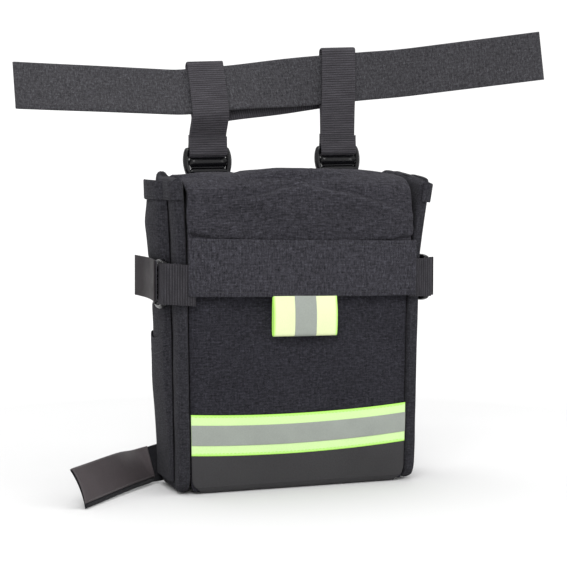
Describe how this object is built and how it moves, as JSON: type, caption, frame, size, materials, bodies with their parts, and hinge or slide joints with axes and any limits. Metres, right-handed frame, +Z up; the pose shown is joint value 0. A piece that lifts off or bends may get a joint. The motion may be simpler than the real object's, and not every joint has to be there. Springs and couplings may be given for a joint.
{
  "type": "first responder belt pouch",
  "caption": "Black fabric pouch hung by two webbing straps from a belt, with a buckled lid, side pockets, reflective trim and a leg strap.",
  "frame": {"origin": "centre of the belt, midway between the two hanger straps", "axes": "+Z up, the lid's front faces -Y and the wearer's side faces +Y, +X to the right as seen from the front"},
  "size_m": [0.4249, 0.089, 0.3642],
  "materials": {
    "belt_elastic": "knitted elastic with a short fuzzy face",
    "webbing": "ribbed polypropylene webbing",
    "buckle_plastic": "moulded acetal, semi-gloss",
    "pouch_fabric": "plain woven nylon, matt",
    "band_fabric": "woven nylon over padding",
    "coated_fabric": "smooth polyurethane-coated fabric, satin",
    "strap_velour": "brushed loop fabric",
    "board": "polyethylene board",
    "lime_tape": "fluorescent tape",
    "silver_tape": "retroreflective tape",
    "touch_fastener": "hook and loop tape",
    "elastic": "flat woven elastic"
  },
  "bodies": {
    "belt": {"belt_section": "belt_elastic"},
    "hanger": {"bridge_strap": "webbing", "left_hanger_strap": "webbing", "right_hanger_strap": "webbing", "left_loop_buckle": "buckle_plastic", "right_loop_buckle": "buckle_plastic"},
    "pouch": {"back_panel": "pouch_fabric", "back_board": "board", "lid_seam": "pouch_fabric", "front_panel": "pouch_fabric", "base_panel": "coated_fabric", "base_board": "board", "front_base_patch": "coated_fabric", "stripe_lime": "lime_tape", "stripe_silver": "silver_tape", "loop_patch": "touch_fastener", "inner_elastic": "elastic", "leg_strap_base": "strap_velour", "left_anchor_webbing": "webbing", "right_anchor_webbing": "webbing", "left_side_panel": "pouch_fabric", "left_side_pocket": "pouch_fabric", "left_pocket_hem": "pouch_fabric", "left_lower_pocket": "pouch_fabric", "left_side_anchor": "webbing", "right_side_panel": "pouch_fabric", "right_side_pocket": "pouch_fabric", "right_pocket_hem": "pouch_fabric", "right_lower_pocket": "pouch_fabric", "right_side_anchor": "webbing"},
    "lid": {"lid_panel": "pouch_fabric", "lid_band": "band_fabric", "hook_patch": "touch_fastener", "left_band_strap": "webbing", "left_side_buckle": "buckle_plastic", "right_band_strap": "webbing", "right_side_buckle": "buckle_plastic"},
    "pull_tab": {"pull_tab_lime": "lime_tape", "pull_tab_silver": "silver_tape"},
    "left_tail": {"left_strap_tail": "webbing", "left_tail_grip": "coated_fabric"},
    "right_tail": {"right_strap_tail": "webbing", "right_tail_grip": "coated_fabric"},
    "leg_strap": {"leg_strap_tip": "strap_velour", "leg_strap_grip": "coated_fabric"}
  },
  "joints": [
    {"name": "hanger_slide", "type": "slide", "parent": "belt", "child": "hanger", "axis": [0.9907, 0, 0.1357], "range_m": [-0.008, 0.008]},
    {"name": "pouch_swing", "type": "hinge", "parent": "hanger", "child": "pouch", "pos_m": [0, 0, -0.0765], "axis": [0.9988, 0, 0.0489], "range_deg": [-45, 0]},
    {"name": "lid_open", "type": "hinge", "parent": "pouch", "child": "lid", "pos_m": [0, -0.011, -0.0785], "axis": [-1, 0, 0], "range_deg": [0, 75]},
    {"name": "pull_tab_lift", "type": "hinge", "parent": "lid", "child": "pull_tab", "pos_m": [0, -0.0692, -0.1721], "axis": [-1, 0, 0], "range_deg": [0, 90]},
    {"name": "left_tail_lift", "type": "hinge", "parent": "pouch", "child": "left_tail", "pos_m": [-0.1107, -0.046, -0.155], "axis": [0, 0, 1], "range_deg": [0, 70]},
    {"name": "right_tail_lift", "type": "hinge", "parent": "pouch", "child": "right_tail", "pos_m": [0.1107, -0.046, -0.155], "axis": [0, 0, -1], "range_deg": [0, 70]},
    {"name": "leg_strap_swing", "type": "hinge", "parent": "pouch", "child": "leg_strap", "pos_m": [-0.0985, -0.0029, -0.298], "axis": [0, 0, -1], "range_deg": [0, 120]}
  ]
}
